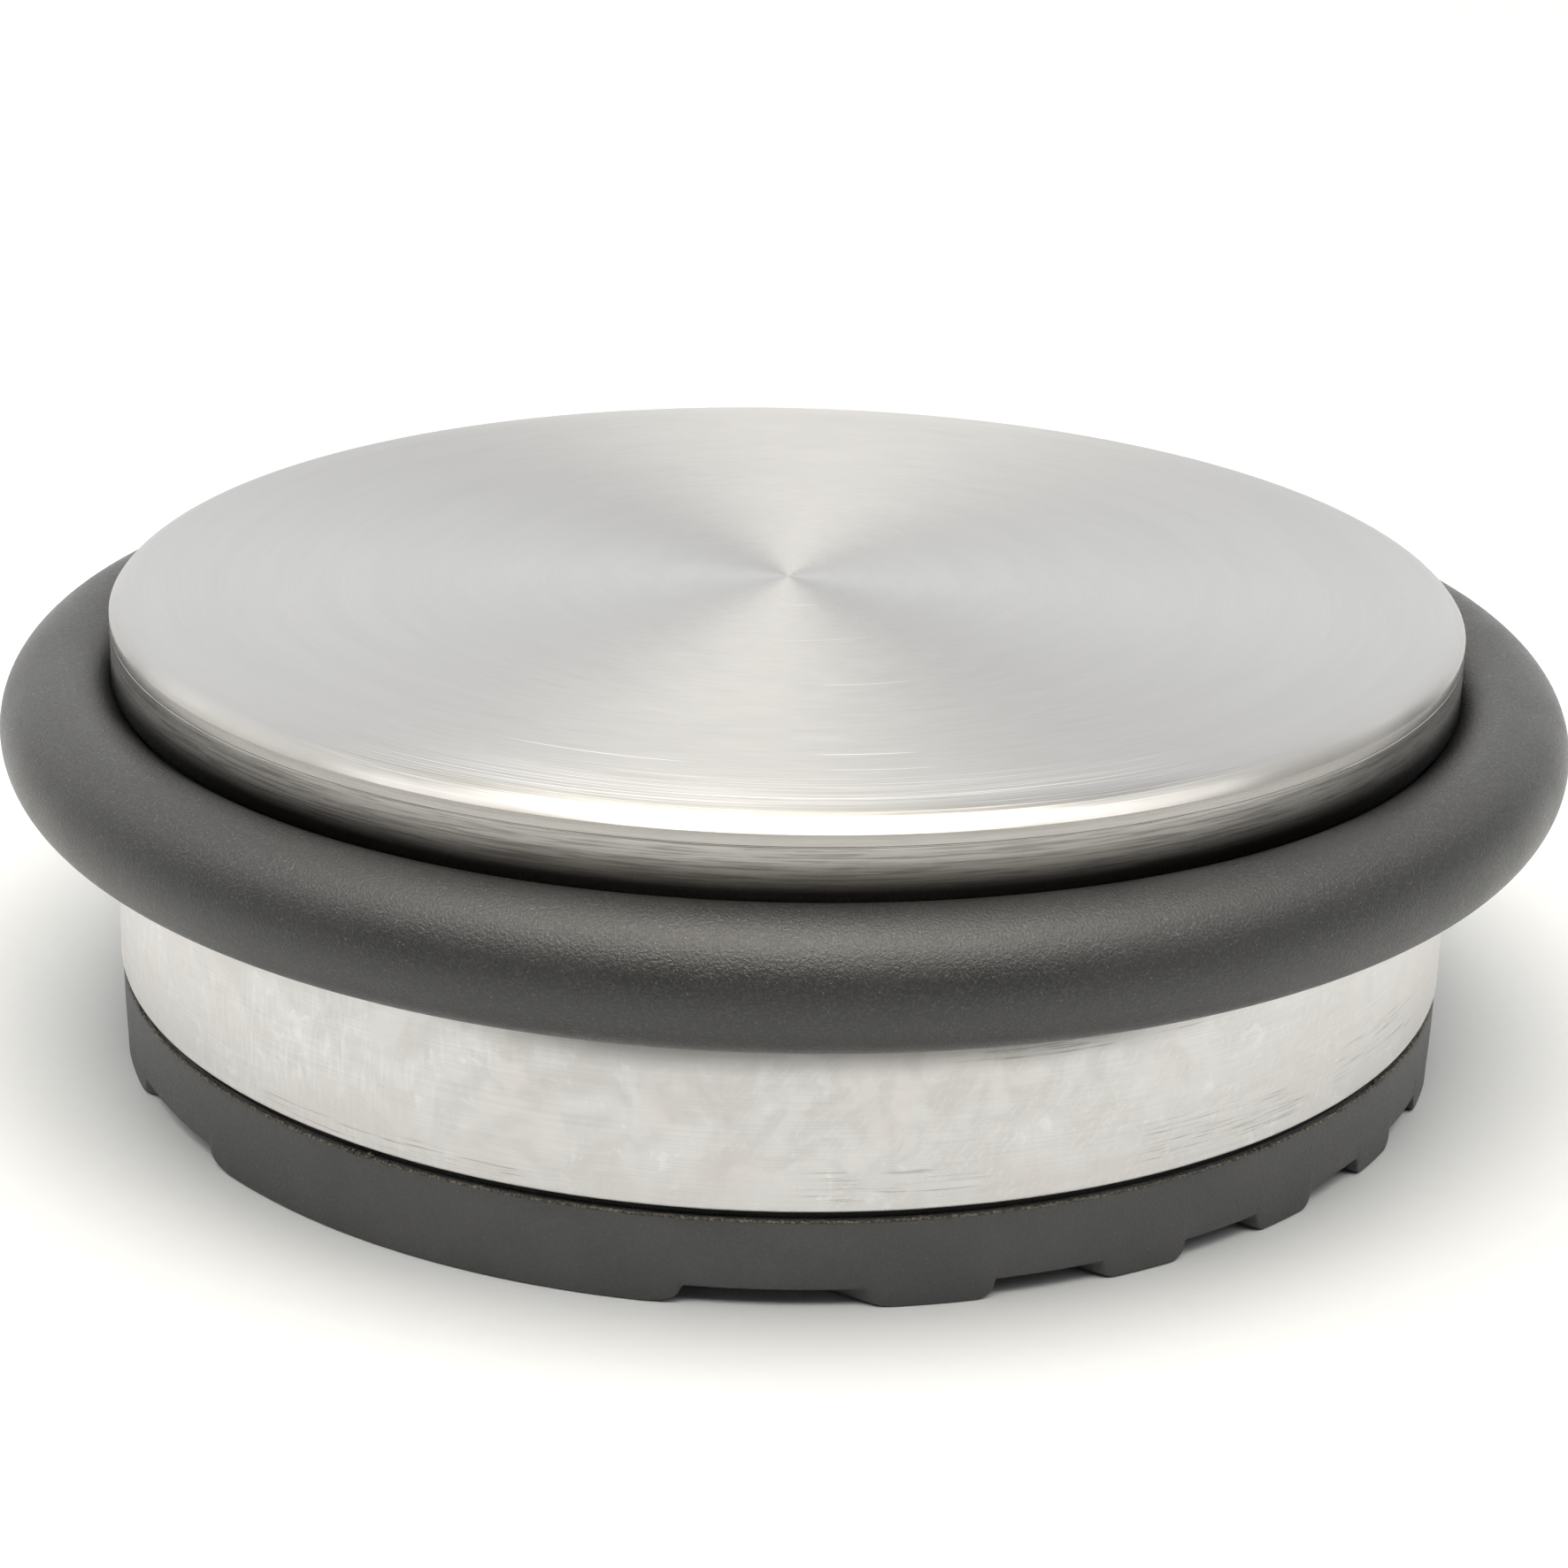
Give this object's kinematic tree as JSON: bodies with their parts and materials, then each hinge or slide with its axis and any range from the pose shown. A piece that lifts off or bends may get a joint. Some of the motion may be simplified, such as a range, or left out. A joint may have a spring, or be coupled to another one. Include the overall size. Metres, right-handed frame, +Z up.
{
  "type": "door stop",
  "caption": "Heavy round floor door stop: brushed steel puck with a rubber bumper ring set in a side groove and a treaded rubber sole.",
  "frame": {"origin": "centre of the sole's underside, on the floor", "axes": "+Z up along the axis of the puck, -Y towards the viewer; the tread bars run 30 degrees clockwise of +X seen from above"},
  "size_m": [0.1, 0.1, 0.0301],
  "materials": {
    "brushed_shell": "circular brushed stainless sheet, lightly scuffed",
    "ring_rubber": "matte black moulded rubber, faint dust",
    "sole_rubber": "matte black moulded rubber",
    "adhesive_film": "thin black foam film",
    "weight_steel": "plain mill finish, unseen",
    "damping_pad": "thin soft pad, unseen",
    "screw_steel": "zinc plated, unseen"
  },
  "bodies": {
    "root": {"top_cap": "brushed_shell", "base_pan": "brushed_shell", "bumper_ring": "ring_rubber", "rubber_sole": "sole_rubber", "sole_adhesive": "adhesive_film", "upper_weight": "weight_steel", "groove_disc": "weight_steel", "lower_weight": "weight_steel", "damping_disc": "damping_pad", "cap_boss": "screw_steel", "clamp_screw": "screw_steel"}
  },
  "joints": []
}
